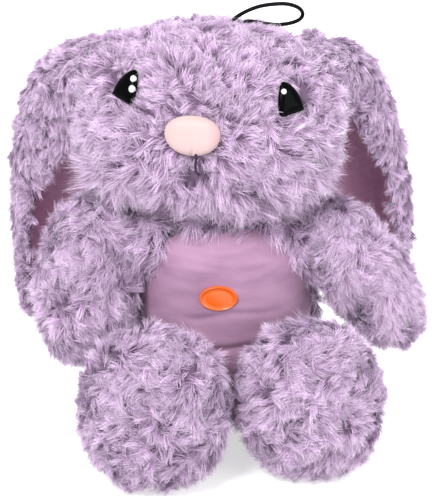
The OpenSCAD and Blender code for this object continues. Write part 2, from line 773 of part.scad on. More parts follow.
body_cover();
body_stuffing();
belly_panel();
tail_cover();
tail_stuffing();
voice_box_front();
voice_box_back();
speaker();
circuit_board();
button_cells();
battery_contacts();
battery_door();
box_screws();
speaker_wires();
button_spring();
squeeze_badge();
press_pad();
squeeze_button();
head_cover();
head_stuffing();
left_eye();
right_eye();
eye_washers();
nose_patch();
mouth_stitch();
hang_loop();
left_ear_outer();
left_ear_lining();
right_ear_outer();
right_ear_lining();
left_arm_cover();
left_arm_stuffing();
right_arm_cover();
right_arm_stuffing();
left_leg_cover();
left_leg_stuffing();
right_leg_cover();
right_leg_stuffing();
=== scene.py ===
"""A seated plush rabbit with a voice box in its belly: fur, satin, eyes and badge
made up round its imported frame. Metres, +Z up, the face looks along -Y."""

import bpy
import numpy as np
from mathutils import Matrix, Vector


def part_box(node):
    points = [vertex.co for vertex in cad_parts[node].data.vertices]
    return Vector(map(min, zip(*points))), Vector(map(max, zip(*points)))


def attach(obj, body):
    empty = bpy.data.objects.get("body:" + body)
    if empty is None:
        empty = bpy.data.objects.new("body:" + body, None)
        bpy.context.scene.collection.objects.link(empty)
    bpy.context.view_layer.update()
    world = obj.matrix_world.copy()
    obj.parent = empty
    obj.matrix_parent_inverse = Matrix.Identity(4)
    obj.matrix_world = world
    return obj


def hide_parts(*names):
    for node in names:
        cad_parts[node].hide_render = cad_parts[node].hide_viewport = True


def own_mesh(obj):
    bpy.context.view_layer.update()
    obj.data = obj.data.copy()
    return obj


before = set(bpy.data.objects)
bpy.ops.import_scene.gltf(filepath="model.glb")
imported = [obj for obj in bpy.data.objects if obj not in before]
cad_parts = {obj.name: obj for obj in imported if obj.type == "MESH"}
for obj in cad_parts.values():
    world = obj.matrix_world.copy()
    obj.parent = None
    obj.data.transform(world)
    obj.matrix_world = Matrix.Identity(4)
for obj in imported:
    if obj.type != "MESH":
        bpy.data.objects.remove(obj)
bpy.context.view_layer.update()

# ---- Camera ----
# It stands in front of the toy and looks down on it a little, as someone at a counter does.
def placed(name, data):
    """New object of the scene."""
    thing = bpy.data.objects.new(name, data)
    bpy.context.scene.collection.objects.link(thing)
    return thing


eye_line = np.radians(22)
looked_at = Vector((-0.006, -0.020, 0.133))
camera_data = bpy.data.cameras.new("camera")
camera_data.lens = 119.8
camera_data.sensor_width = 36
camera = placed("camera", camera_data)
camera.location = looked_at + 1.1 * Vector((0, -np.cos(eye_line), np.sin(eye_line)))
camera.rotation_euler = (np.pi / 2 - eye_line, 0, 0)
bpy.context.scene.camera = camera


# ---- Hang loop ----
# A loop of round black elastic cord with a braided cover, 2.6 mm thick.
# Its two ends are sewn into the seam on top of the head.
def unit(v):
    """Vectors over their own length."""
    return v / np.maximum(np.linalg.norm(v, axis=-1, keepdims=True), 1e-12)


def smooth_line(stations, steps):
    """Catmull-Rom curve through the stations, with the given number of steps from one to the next."""
    p = np.vstack([2 * stations[0] - stations[1], stations, 2 * stations[-1] - stations[-2]])
    t = np.linspace(0, 1, steps, endpoint=False)[None, :, None]
    a, b, c, d = p[:-3, None], p[1:-2, None], p[2:-1, None], p[3:, None]
    bow = (2 * a - 5 * b + 4 * c - d) * t**2 / 2
    line = b + (c - a) * t / 2 + bow + (3 * b - a - 3 * c + d) * t**3 / 2
    return np.vstack([line.reshape(-1, stations.shape[1]), stations[-1]])


def grid_faces(rows, cols, closed):
    """Four corners of each cell of a grid of points, closed where the last column meets the first."""
    i, j = np.meshgrid(np.arange(rows - 1), np.arange(cols if closed else cols - 1), indexing="ij")
    k = (j + 1) % cols
    return np.stack([i * cols + j, i * cols + k, (i + 1) * cols + k, (i + 1) * cols + j], -1).reshape(-1, 4)


def new_piece(name, verts, faces, finish, uv=None):
    """Smooth mesh object from arrays of points and of faces, and of UV points if given."""
    mesh = bpy.data.meshes.new(name)
    mesh.from_pydata(verts, [], [list(f) for f in faces])
    if uv is not None:
        mesh.uv_layers.new(name="weave").data.foreach_set("uv", np.asarray(uv, np.float32).ravel())
    mesh.polygons.foreach_set("use_smooth", np.ones(len(mesh.polygons), bool))
    mesh.update()
    piece = placed(name, mesh)
    piece.data.materials.append(finish)
    return piece


def capped(rows, cols):
    """Faces of a closed skin over rings of points: the grid between them and a cap at each end."""
    return [list(f) for f in grid_faces(rows, cols, True)] + [
        list(range(cols - 1, -1, -1)), list(range((rows - 1) * cols, rows * cols))]


def thread(path, radius, sides):
    """Round thread: circles of the given radius square to each point's direction along the path."""
    way = unit(np.gradient(path, axis=0))
    side = unit(np.cross(way, [0.13, 0.97, 0.2]))
    turn = np.linspace(0, 2 * np.pi, sides, endpoint=False)[None, :, None]
    ring = side[:, None] * np.cos(turn) + np.cross(way, side)[:, None] * np.sin(turn)
    return (path[:, None] + np.reshape(radius, (-1, 1, 1)) * ring).reshape(-1, 3)


def ring_uv(faces, rows, cols, turns, lengths):
    """UV of a tube's corners: round the tube up to turns, along it up to lengths."""
    uv = []
    for f in faces:
        if len(f) == 4:
            i, j = divmod(f[0], cols)
            uv += [((j + a) / cols * turns, (i + b) / rows * lengths)
                   for a, b in ((0, 0), (1, 0), (1, 1), (0, 1))]
        else:
            uv += [(0, 0)] * len(f)
    return uv


def node_parts(mat):
    """Nodes of a material, its links and its surface node."""
    nodes = mat.node_tree.nodes
    return nodes, mat.node_tree.links, nodes["Principled BSDF"]


def with_inputs(node, **values):
    """The node with these inputs set; an input's name has _ for each space."""
    for key, value in values.items():
        node.inputs[key.replace("_", " ")].default_value = value
    return node


def ramped(nodes, *stops):
    """Colour ramp through stops of a position and a colour, the first two at its ends."""
    node = nodes.new("ShaderNodeValToRGB")
    elements = node.color_ramp.elements
    for k, (at, colour) in enumerate(stops):
        stop = elements[k] if k < 2 else elements.new(at)
        stop.position, stop.color = at, (*colour, 1)
    return node


def finish_of(name, colour, rough, sheen=0.0, coat=0.0, metal=0.0, bump=None, spread=0.06, grain=400):
    """Plain finish: a colour that drifts a little over the surface with noise of the given grain per metre,
    a roughness that follows the same noise, and a bump of the given height."""
    mat = bpy.data.materials.new(name)
    mat.use_nodes = True
    nodes, links, skin = node_parts(mat)
    with_inputs(skin, Metallic=metal, Sheen_Weight=sheen, Coat_Weight=coat)
    place = nodes.new("ShaderNodeTexCoord")
    noise = with_inputs(nodes.new("ShaderNodeTexNoise"), Scale=grain, Detail=4)
    links.new(place.outputs["Object"], noise.inputs["Vector"])
    dark = tuple(max(0, c * (1 - 2 * spread)) for c in colour)
    pale = tuple(min(1, c * (1 + spread)) for c in colour)
    tone = ramped(nodes, (0.3, dark), (0.7, pale))
    links.new(noise.outputs["Fac"], tone.inputs["Fac"])
    links.new(tone.outputs["Color"], skin.inputs["Base Color"])
    wear = with_inputs(nodes.new("ShaderNodeMapRange"), To_Min=max(0.02, rough - 0.06),
                       To_Max=min(1, rough + 0.06))
    links.new(noise.outputs["Fac"], wear.inputs["Value"])
    links.new(wear.outputs["Result"], skin.inputs["Roughness"])
    if bump:
        relief = with_inputs(nodes.new("ShaderNodeBump"), Distance=bump, Strength=0.6)
        links.new(noise.outputs["Fac"], relief.inputs["Height"])
        links.new(relief.outputs["Normal"], skin.inputs["Normal"])
    return mat


loop_stations = np.array([
    (3, -6, 283.4), (7, -7, 287.3), (14, -8, 291.5), (22, -8, 294.3), (31, -8, 295.6), (39, -7, 295.3),
    (46, -4, 292.3), (49, -1, 287.8), (47.5, 2, 283.3), (42, 4, 280.3), (35, 5, 279), (28, 5, 279.2),
    (21, 4, 280.6), (15, 3, 281.6), (11.5, 2, 281.2)]) / 1000
loop_d = 0.0026
loop_path = smooth_line(loop_stations, 8)
loop_faces = capped(len(loop_path), 12)
loop_finish = finish_of("loop_elastic", (0.004, 0.004, 0.005), 0.75, bump=0.0002, grain=2500)
with_inputs(node_parts(loop_finish)[2], Specular_IOR_Level=0.1)
hang_loop = new_piece("elastic_loop", thread(loop_path, loop_d / 2, 12), loop_faces, loop_finish,
                      ring_uv(loop_faces, len(loop_path), 12, 1, 30))
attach(hang_loop, "head")
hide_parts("hang_loop")


# ---- Torso ----
# A stuffed bag of long-pile fabric, sewn flat under the seat and square in the shoulders.
# The stuffed skin lies under the pile, and the pile is set in locks of curved hairs.
mm = 0.001


def spow(x, e):
    """Signed power, which turns a circle into a rounder square."""
    return np.sign(x) * np.abs(x) ** e


def bulge(t, p):
    """Share of the full radius left at a share t of the height, for squareness p."""
    return np.maximum(0, 1 - np.abs(t) ** p) ** (1 / p)


def ring(turn, p):
    """Superellipse in a plane: cosine and sine of the turn, each to the power 2 / p."""
    return spow(np.cos(turn), 2 / p), spow(np.sin(turn), 2 / p)


body_half = np.array([62, 60, 81.5]) * mm
body_mid = np.array([0, 4, 75.5]) * mm
turns = np.linspace(0, 2 * np.pi, 48, endpoint=False)
fabric = 4.5 * mm  # from the mean height of the pile down to the stuffed skin


def torso_shell(inset):
    """Rings of squareness 2.2 from the seat up; above the widest height the outline's is 3.8."""
    half = body_half - inset
    low = -np.arcsin((body_mid[2] - inset) / half[2])
    rows = 40
    a = np.linspace(low, np.radians(84), rows)[:, None]
    p = np.where(a > 0, 3.8, 2.2)
    t = np.where(a > 0, spow(np.sin(a), 2 / p), np.sin(a))
    c, s = ring(turns[None], 2.2)
    wide = bulge(t, p)
    rings = np.stack([half[0] * wide * c, half[1] * wide * s, half[2] * t * np.ones_like(c)], -1) + body_mid
    return rings.reshape(-1, 3), capped(rows, len(turns))


def ball_shell(middle, radius):
    """Ball of rings from pole to pole."""
    rows = 20
    a = np.linspace(-1.45, 1.45, rows)[:, None]
    rings = np.stack([np.cos(a) * np.cos(turns), np.cos(a) * np.sin(turns),
                      np.sin(a) * np.ones_like(turns)], -1)
    return (np.array(middle) + radius * rings).reshape(-1, 3), capped(rows, len(turns))


cloth_steps = 20


def rows_of(items, key, kind=float):
    """Three values of each of a mesh's items, a row for each item."""
    values = np.empty(len(items) * 3, kind)
    items.foreach_get(key, values)
    return values.reshape(-1, 3)


def stuffed(name, shells, finish, swell, voxel=0.004):
    """Joins closed shells into one skin of even cells, then blows it up like a filled bag:
    cloth under pressure without gravity, where no point moves further than swell."""
    verts, faces = [], []
    for points, skin in shells:
        faces += [[i + sum(map(len, verts)) for i in f] for f in skin]
        verts.append(points)
    piece = new_piece(name, np.vstack(verts), faces, finish)
    bpy.context.view_layer.objects.active = piece
    remesh = piece.modifiers.new("even_cells", "REMESH")
    remesh.mode, remesh.voxel_size = "VOXEL", voxel
    bpy.ops.object.modifier_apply(modifier="even_cells")
    soften = piece.modifiers.new("soften", "SMOOTH")
    soften.iterations = 4
    bpy.ops.object.modifier_apply(modifier="soften")
    before = rows_of(piece.data.vertices, "co")
    bag = piece.modifiers.new("filled_bag", "CLOTH")
    bag.settings.use_pressure = True
    bag.settings.uniform_pressure_force = 4
    bag.settings.effector_weights.gravity = 0
    for step in range(1, cloth_steps + 1):
        bpy.context.scene.frame_set(step)
    bpy.ops.object.modifier_apply(modifier="filled_bag")
    moved = rows_of(piece.data.vertices, "co") - before
    far = np.linalg.norm(moved, axis=1, keepdims=True)
    moved *= np.minimum(1, swell / np.maximum(far, 1e-9))
    piece.data.vertices.foreach_set("co", (before + moved).ravel())
    bpy.context.scene.frame_set(1)
    piece.data.polygons.foreach_set("use_smooth", np.ones(len(piece.data.polygons), bool))
    piece.data.update()
    return piece


def pile_finish(name, root, middle, tip):
    """Fur colour along a hair, read from its own UV map: near black at the root as painted shade deep in
    the pile, pale at the tip, and from lock to lock a little darker or paler with the map's other axis."""
    mat = bpy.data.materials.new(name)
    mat.use_nodes = True
    nodes, links, skin = node_parts(mat)
    with_inputs(skin, Roughness=0.7, Sheen_Weight=0.5, Sheen_Roughness=0.45, Sheen_Tint=(0.9, 0.93, 1, 1))
    along_hair = nodes.new("ShaderNodeUVMap")
    along_hair.uv_map = "OFBake"
    parts = nodes.new("ShaderNodeSeparateXYZ")
    links.new(along_hair.outputs["UV"], parts.inputs["Vector"])
    tone = ramped(nodes, (0, root), (1, tip), (0.55, middle))
    links.new(parts.outputs["Y"], tone.inputs["Fac"])
    shade = with_inputs(nodes.new("ShaderNodeMapRange"), To_Min=0.62, To_Max=1.30)
    links.new(parts.outputs["X"], shade.inputs["Value"])
    mix = nodes.new("ShaderNodeVectorMath")
    mix.operation = "SCALE"
    links.new(tone.outputs["Color"], mix.inputs[0])
    links.new(shade.outputs["Result"], mix.inputs["Scale"])
    links.new(mix.outputs["Vector"], skin.inputs["Base Color"])
    return mat


def skin_points(piece, count, rng):
    """Points spread evenly over a skin, one in each equal share of its area, and the normals there."""
    mesh = piece.data
    mesh.calc_loop_triangles()
    tri = rows_of(mesh.loop_triangles, "vertices", int)
    co, no = rows_of(mesh.vertices, "co"), rows_of(mesh.vertices, "normal")
    a, b, c = co[tri[:, 0]], co[tri[:, 1]], co[tri[:, 2]]
    area = np.cumsum(np.linalg.norm(np.cross(b - a, c - a), axis=1))
    pick = np.searchsorted(area, (np.arange(count) + rng.random(count)) / count * area[-1])
    pick = np.minimum(pick, len(tri) - 1)
    u, v = rng.random((2, count))
    u, v = np.where(u + v > 1, 1 - u, u)[:, None], np.where(u + v > 1, 1 - v, v)[:, None]
    share = [1 - u - v, u, v]
    spot = sum(s * co[tri[pick, k]] for k, s in enumerate(share))
    return spot, unit(sum(s * no[tri[pick, k]] for k, s in enumerate(share)))


def drift(seed, reach):
    """Smooth random field over space: sine waves in random directions, their wavelengths round reach,
    summed with random weights into three values of about unit size."""
    count = 16
    rng = np.random.default_rng(seed)
    waves = unit(rng.normal(size=(count, 3))) * (2 * np.pi / (reach * rng.uniform(0.7, 1.5, (count, 1))))
    phase = rng.uniform(0, 2 * np.pi, count)
    weight = rng.normal(size=(count, 3)) / np.sqrt(count / 2)
    return lambda spot: np.sin(spot @ waves.T + phase) @ weight


flow_reach = 0.034  # how far the pile keeps its direction
root_lean, bend_over = 49, 42  # degrees off the normal at the root, and further by the tip
lock_r = 0.0033  # radius of a lock at its root
draw = 0.92  # share of that radius drawn in at the tip
hair_half = 0.0002  # half the width of a hair at its root


def fur(name, skin, locks, hairs, pile, seed, bare=None, comb=None, pull=0.4, trim=None):
    """Locks of hairs on a skin. The pile lies along a smooth random flow over the skin, mixed with the way
    it is combed, and each lock strays from it a little. A hair bends over on an arc:
    position = root + length * integral of (cos(lean) normal + sin(lean) way), with lean growing along it,
    and curls sideways with the square of the way along it. The hairs of a lock draw together towards
    its tip. Each hair is a narrow strip with its broad side outwards that ends in a point."""
    rng = np.random.default_rng(seed)
    spot, normal = skin_points(skin, locks, rng)
    if bare is not None:
        kept = ~bare(spot, normal)
        spot, normal = spot[kept], normal[kept]
    n = len(spot)
    way = drift(seed + 500, flow_reach)(spot) + 0.6 * drift(seed + 700, flow_reach / 3)(spot)
    if comb is not None:
        way = (1 - pull) * way + 1.7 * pull * comb(spot)
    way = way + 0.50 * rng.normal(size=way.shape)
    way = unit(way - (way * normal).sum(1, keepdims=True) * normal)
    rise = drift(seed + 900, 0.016)(spot)[:, 0]
    lean = np.radians(root_lean + 9 * rise + rng.normal(0, 10, n))
    bend = np.radians(bend_over + rng.normal(0, 10, n))
    length = pile * rng.uniform(0.8, 1.15, n) * (1 - 0.06 * rise) * (trim(spot) if trim is not None else 1)

    def each(x):
        """A value of the lock, once for each of its hairs."""
        return np.repeat(x, hairs, axis=0)

    count = n * hairs
    side = np.cross(normal, way)
    r = lock_r * np.sqrt(rng.random(count))[:, None]
    f = rng.uniform(0, 2 * np.pi, count)[:, None]
    offset = r * (np.cos(f) * each(side) + np.sin(f) * each(way))
    spread = rng.normal(0, 0.17, (count, 1))
    hair_way = unit(each(way) * np.cos(spread) + each(side) * np.sin(spread))
    hair_side = np.cross(each(normal), hair_way)
    hair_lean = (each(lean) + rng.normal(0, 0.12, count))[:, None]
    hair_bend = each(bend)[:, None]
    hair_length = (each(length) * rng.uniform(0.75, 1.1, count))[:, None]
    root = each(spot) + offset - each(normal) * (0.0008 + r**2 / 0.09)
    width = (hair_half * rng.uniform(0.75, 1.25, count))[:, None]
    roll = rng.normal(0, 0.5, (count, 1))
    curl = each(rng.normal(0, 0.30, n))[:, None]
    rows = []
    for t, w in ((0.0, 1.0), (0.5, 1.0), (1.0, 0.0)):
        now = hair_lean + hair_bend * t
        up = (np.sin(now) - np.sin(hair_lean)) / hair_bend
        over = (np.cos(hair_lean) - np.cos(now)) / hair_bend
        line = root + hair_length * (up * each(normal) + over * hair_way + curl * t * t * hair_side)
        line = line - offset * draw * t**1.1
        line[:, 2] = np.maximum(line[:, 2] - hair_length[:, 0] * 0.08 * t * t, 0.0004)
        out = np.sin(now) * each(normal) - np.cos(now) * hair_way
        across = width * w * (np.cos(roll) * hair_side + np.sin(roll) * out)
        rows += [line + across, line - across] if w else [line]
    verts = np.stack(rows, 1)
    corners = (np.arange(count) * 5)[:, None] + np.array([0, 1, 3, 2, 2, 3, 4])
    tone = np.clip(0.5 + 0.17 * each(rng.normal(size=n)) + 0.12 * rng.normal(size=count), 0, 1)[:, None]
    column = tone * (1 - 1 / 600) + np.array([0, 1, 1, 0, 0, 1, 0.5]) / 600
    height = np.broadcast_to(np.array([0, 0, 0.5, 0.5, 0.5, 0.5, 1]), column.shape)
    starts = ((np.arange(count) * 7)[:, None] + np.array([0, 4])).ravel()
    mesh = bpy.data.meshes.new(name)
    mesh.vertices.add(count * 5)
    mesh.vertices.foreach_set("co", verts.astype(np.float32).ravel())
    mesh.loops.add(corners.size)
    mesh.loops.foreach_set("vertex_index", corners.ravel().astype(np.int32))
    mesh.polygons.add(len(starts))
    mesh.polygons.foreach_set("loop_start", starts.astype(np.int32))
    mesh.polygons.foreach_set("use_smooth", np.ones(len(starts), bool))
    mesh.uv_layers.new(name="OFBake").data.foreach_set(
        "uv", np.stack([column, height], -1).astype(np.float32).ravel())
    mesh.update(calc_edges=True)
    mesh.materials.append(lilac_pile)
    return placed(name, mesh)


# Painted shade: the root colour is near black so that the depths of the pile read as shaded.
lilac_pile = pile_finish("lilac_pile", (0.075, 0.03, 0.08), (0.58, 0.395, 0.605), (0.98, 0.82, 1.0))
# Painted shade: the stuffed skin under the pile is dark purple so that the gaps between locks read as
# shaded.
painted_shade_backing = finish_of("painted_shade_backing", (0.14, 0.08, 0.15), 0.9, sheen=0.2, bump=0.0008, grain=900)
shoulder_at = {-1: np.array([-55.5, -14, 136]) * mm, 1: np.array([55.5, -14, 136]) * mm}
hip_at = {-1: np.array([-40, -36, 32]) * mm, 1: np.array([40, -36, 32]) * mm}
neck_at = np.array([-2, 0, 160]) * mm
tail_at = np.array(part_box("tail_cover")).mean(0)


def in_ball(spot, middle, radius):
    """Whether each point lies inside a ball."""
    return np.linalg.norm(spot - middle, axis=1) < radius


belly_turn, belly_p = 66, 2.8


def torso_bare(spot, normal):
    """No pile on the belly's velour, on the flat seat, or where a limb, the tail or the head is sewn on."""
    turn = np.degrees(np.arctan2(spot[:, 0], body_mid[1] - spot[:, 1]))
    high = (spot[:, 2] - 0.0865) / 0.062
    reach = belly_turn * np.maximum(0.42, bulge(high, belly_p))
    belly = (np.abs(turn) < reach) & (np.abs(high) < 1.02)
    sewn = in_ball(spot, neck_at, 0.020) | in_ball(spot, tail_at, 0.017) | (spot[:, 2] < 0.006)
    for s in (-1, 1):
        sewn |= in_ball(spot, shoulder_at[s], 0.016) | in_ball(spot, hip_at[s], 0.022)
    return belly | sewn


def collar_shell():
    """Flat round cushion under the head, where the neck seam gathers the torso's top."""
    points, faces = ball_shell((0, 0, 0), 1)
    return points * np.array([56, 34, 9]) * mm + neck_at - [0.001, 0, 0.004], faces


def torso_trim(spot):
    """Share of the full length: longer round the top and at both flanks."""
    top = np.exp(-((spot[:, 2] - 0.158) / 0.016) ** 2)
    flank = np.exp(-((np.abs(spot[:, 0]) - 0.060) / 0.012) ** 2 - ((spot[:, 2] - 0.080) / 0.022) ** 2)
    return 1 + 0.9 * top + 0.6 * flank


torso = stuffed("torso_skin", [torso_shell(fabric), ball_shell(neck_at, 0.022), collar_shell()],
                painted_shade_backing, 2 * mm)
torso_pile = fur("torso_pile", torso, 3900, 20, 0.012, 11, torso_bare, trim=torso_trim)
for piece in (torso, torso_pile):
    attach(piece, "body")
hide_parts("body_cover", "body_stuffing")


# ---- Belly panel ----
# A window of short velour set into the torso, pulled tight over the filling.
# It wrinkles across where the toy sits.
belly_rows, belly_cols = 90, 70
belly_mid, belly_half = 0.0875, 0.0645


def belly_grid():
    """Height and turn on the torso's outline, as wide as a superellipse at each height,
    pushed in along four shallow cross creases."""
    v = np.linspace(-1, 1, belly_rows)[:, None]
    u = np.linspace(-1, 1, belly_cols)[None]
    z = belly_mid + v * belly_half
    turn = np.radians(u * belly_turn * np.maximum(0.42, bulge(v * 0.97, belly_p)))
    t = np.clip((z - body_mid[2]) / body_half[2], -1, 1)
    wide = bulge(t, np.where(t > 0, 3.8, 2.2))
    x = body_half[0] * wide * spow(np.sin(turn), 2 / 2.2)
    y = body_mid[1] - body_half[1] * wide * spow(np.cos(turn), 2 / 2.2)
    crease = 0
    for z0, tilt, deep, long in ((0.138, 0.05, 1.2, 0.030), (0.130, -0.06, 1.0, 0.024),
                                 (0.099, 0.08, 0.9, 0.034), (0.076, -0.04, 1.4, 0.040)):
        line = z - z0 - tilt * x - 0.0015 * np.sin(x * 120 + z0 * 900)
        fold = np.exp(-(line / 0.0022) ** 2) - 0.5 * np.exp(-((line - 0.005) / 0.003) ** 2)
        crease = crease + deep * mm * fold * np.exp(-(x / long) ** 4)
    return x, y + crease, z * np.ones_like(x)


x, y, z = belly_grid()
belly_points = np.stack([x, y, z], -1)
belly_faces = grid_faces(belly_rows, belly_cols, False)


def velour(name, low, high, scale):
    """Short cut pile: sheen and a fine bump over a colour that shifts with the way the pile lies."""
    mat = finish_of(name, high, 0.85, sheen=0.5, bump=0.0003, spread=0.05, grain=scale)
    nodes, links, skin = node_parts(mat)
    with_inputs(skin, Sheen_Roughness=0.35)
    place = nodes["Texture Coordinate"]
    brushed = with_inputs(nodes.new("ShaderNodeTexNoise"), Scale=28, Detail=3)
    stretch = with_inputs(nodes.new("ShaderNodeMapping"), Scale=(0.7, 1, 2.4))
    links.new(place.outputs["Object"], stretch.inputs["Vector"])
    links.new(stretch.outputs["Vector"], brushed.inputs["Vector"])
    tone = ramped(nodes, (0.35, low), (0.65, high))
    links.new(brushed.outputs["Fac"], tone.inputs["Fac"])
    links.new(tone.outputs["Color"], skin.inputs["Base Color"])
    return mat


belly_velour = velour("belly_velour", (0.29, 0.16, 0.26), (0.43, 0.25, 0.38), 1500)
belly = new_piece("belly_velour", belly_points.reshape(-1, 3), belly_faces, belly_velour)
wall = belly.modifiers.new("cloth_thickness", "SOLIDIFY")
wall.thickness, wall.offset = 0.0012, -1
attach(belly, "body")
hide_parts("belly_panel")
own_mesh(belly)


# ---- Badge and squeeze unit ----
# An oval of glossy orange vinyl, heat-pressed with a raised rim, sits over a foam pad and
# the plastic button of the sealed voice box.
def domed_oval(middle, half_w, half_h, profile):
    """Oval rings in the XZ plane; each profile row gives a share of the half sizes
    and a distance forwards."""
    sides = 64
    turn = np.linspace(0, 2 * np.pi, sides, endpoint=False)
    rows = np.array(profile)
    rings = np.stack([half_w * rows[:, :1] * np.cos(turn), -rows[:, 1:] * np.ones_like(turn),
                      half_h * rows[:, :1] * np.sin(turn)], -1)
    return (rings + middle).reshape(-1, 3), capped(len(rows), sides)


badge_low, badge_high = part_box("squeeze_badge")
badge_at = np.array([(badge_low.x + badge_high.x) / 2, badge_low.y, (badge_low.z + badge_high.z) / 2])
badge_orange = finish_of("badge_orange", (0.85, 0.13, 0.004), 0.35, coat=0.4, bump=0.00006,
                         spread=0.02, grain=900)
points, faces = domed_oval(badge_at, 0.0125, 0.0085, [
    (0.96, -0.0040), (1.0, -0.0012), (1.0, -0.0002), (0.975, 0.0004), (0.93, 0.0006), (0.89, 0.0003),
    (0.87, 0.0000), (0.6, 0.0003), (0.3, 0.0005), (0.02, 0.0005)])
badge = new_piece("badge", points, faces, badge_orange)
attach(badge, "squeeze")
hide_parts("squeeze_badge")

inner_finishes = {
    "voice_box_front": finish_of("case_plastic", (0.68, 0.68, 0.64), 0.45, bump=0.00005, grain=3000),
    "speaker": finish_of("speaker_black", (0.03, 0.03, 0.034), 0.7, bump=0.0001, grain=2500),
    "circuit_board": finish_of("board_green", (0.02, 0.13, 0.05), 0.4, coat=0.3, spread=0.15, grain=700),
    "button_cells": finish_of("bright_steel", (0.62, 0.62, 0.64), 0.28, metal=1, bump=0.00003, grain=2600),
    "battery_contacts": finish_of("contact_brass", (0.66, 0.46, 0.14), 0.32, metal=1, grain=1500),
    "press_pad": finish_of("foam", (0.85, 0.83, 0.76), 0.95, bump=0.0004, grain=1800),
    "eye_washers": finish_of("washer_plastic", (0.8, 0.8, 0.78), 0.4, bump=0.00005, grain=2000),
}
for other, like in (("voice_box_back", "voice_box_front"), ("battery_door", "voice_box_front"),
                    ("squeeze_button", "voice_box_front"), ("box_screws", "button_cells"),
                    ("button_spring", "button_cells"), ("speaker_wires", "speaker")):
    inner_finishes[other] = inner_finishes[like]
for node, finish in inner_finishes.items():
    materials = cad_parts[node].data.materials
    materials.clear()
    materials.append(finish)


# ---- Tail ----
# A round puff of the same pile behind the seat.
tail = stuffed("tail_skin", [ball_shell(tail_at, 0.0165)], painted_shade_backing, 1 * mm)
tail_pile = fur("tail_pile", tail, 680, 20, 0.013, 23,
                lambda p, n: in_ball(p, body_mid * [1, 1, 0.5], 0.058))
for piece in (tail, tail_pile):
    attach(piece, "body")
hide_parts("tail_cover", "tail_stuffing")


# ---- Head ----
# A wide stuffed ball of the pile, turned and tilted a little on its neck.
# The pile is brushed away from the nose and is trimmed short round the eyes and the nose.
def turned(axis, degrees):
    """Rotation matrix about X, Y or Z."""
    c, s = np.cos(np.radians(degrees)), np.sin(np.radians(degrees))
    return {"x": np.array([[1, 0, 0], [0, c, -s], [0, s, c]]),
            "y": np.array([[c, 0, s], [0, 1, 0], [-s, 0, c]]),
            "z": np.array([[c, -s, 0], [s, c, 0], [0, 0, 1]])}[axis]


head_half = np.array([83, 66, 63]) * mm
head_p = 2.25
head_at = neck_at + np.array([-6, -8, 63]) * mm
head_turn = turned("y", 3) @ turned("z", -6) @ turned("x", -14)


def to_toy(points):
    """Points of the head's own frame in the toy's frame."""
    return points @ head_turn.T + head_at


def to_head(points):
    """Points of the toy's frame in the head's own frame."""
    return (points - head_at) @ head_turn


def head_shell(inset):
    """Superellipsoid with full cheeks, a full left temple and the gathers behind both ears as Gaussian
    swells on its sides, the left cheek bigger because the head rests over on it."""
    half = head_half - inset
    rows = 44
    a = np.linspace(-1.47, 1.47, rows)[:, None]
    c, s = ring(turns[None], head_p)
    up, out = spow(np.sin(a), 2 / head_p), spow(np.cos(a), 2 / head_p)
    rings = np.stack([half[0] * out * c, half[1] * out * s, half[2] * up * np.ones_like(c)], -1)
    for x, z, size, full, facing in ((-0.060, -0.030, 0.025, 0.0085, 1), (0.060, -0.030, 0.025, 0.0045, 1),
                                     (-0.078, 0.020, 0.016, 0.0050, 1), (-0.066, 0.024, 0.021, 0.0080, -1),
                                     (0.062, 0.024, 0.021, 0.0080, -1)):
        near = np.exp(-((rings[..., 0] - x) / size) ** 2 - ((rings[..., 2] - z) / size) ** 2)
        near = near * (facing * rings[..., 1] < 0.02)
        rings = rings + unit(rings / half**2) * (full * near)[..., None]
    return to_toy(rings.reshape(-1, 3)), capped(rows, len(turns))


def face_at(x, z, off):
    """Point on the face, x across and z up from the head's middle, moved outwards by off."""
    half = head_half + off
    left = 1 - np.abs(x / half[0]) ** head_p - np.abs(z / half[2]) ** head_p
    y = -half[1] * np.maximum(0, left) ** (1 / head_p)
    return np.stack(np.broadcast_arrays(x, y, z), -1)


nose_spot = np.array([-8, -11]) * mm
mouth_x = nose_spot[0] + 0.0045
eye_spots = {-1: np.array([-51.5, 15]) * mm, 1: np.array([51.5, 15]) * mm}


def head_bare(spot, normal):
    """No pile under the nose patch, the eyes and the neck seam."""
    p = to_head(spot)
    front = p[:, 1] < 0
    nose = front & (np.hypot((p[:, 0] - nose_spot[0]) / 0.0140, (p[:, 2] - nose_spot[1]) / 0.0098) < 1)
    nose |= front & (np.abs(p[:, 0] - mouth_x) < 0.0018) & (np.abs(p[:, 2] - nose_spot[1] + 0.019) < 0.0085)
    eyes = np.zeros(len(p), bool)
    for eye_x, eye_z in eye_spots.values():
        outer = eye_x + np.sign(eye_x) * 0.0033
        eyes |= front & (np.hypot((p[:, 0] - outer) / 0.0062, (p[:, 2] - eye_z - 0.0012) / 0.0076) < 1)
    return nose | eyes | in_ball(spot, neck_at, 0.020)


def head_comb(spot):
    """Away from the nose, parted to both sides along the mouth, and down at the back."""
    p = to_head(spot)
    way = p - np.array([nose_spot[0], -0.066, nose_spot[1]])
    way[:, 1] += np.where(p[:, 1] > 0, 0.03, 0)
    along_mouth = np.exp(-((p[:, 0] - mouth_x) / 0.007) ** 2
                         - ((p[:, 2] - nose_spot[1] + 0.021) / 0.010) ** 2)
    way[:, 0] += np.sign(p[:, 0] - mouth_x) * 0.05 * along_mouth
    return unit(way) @ head_turn.T


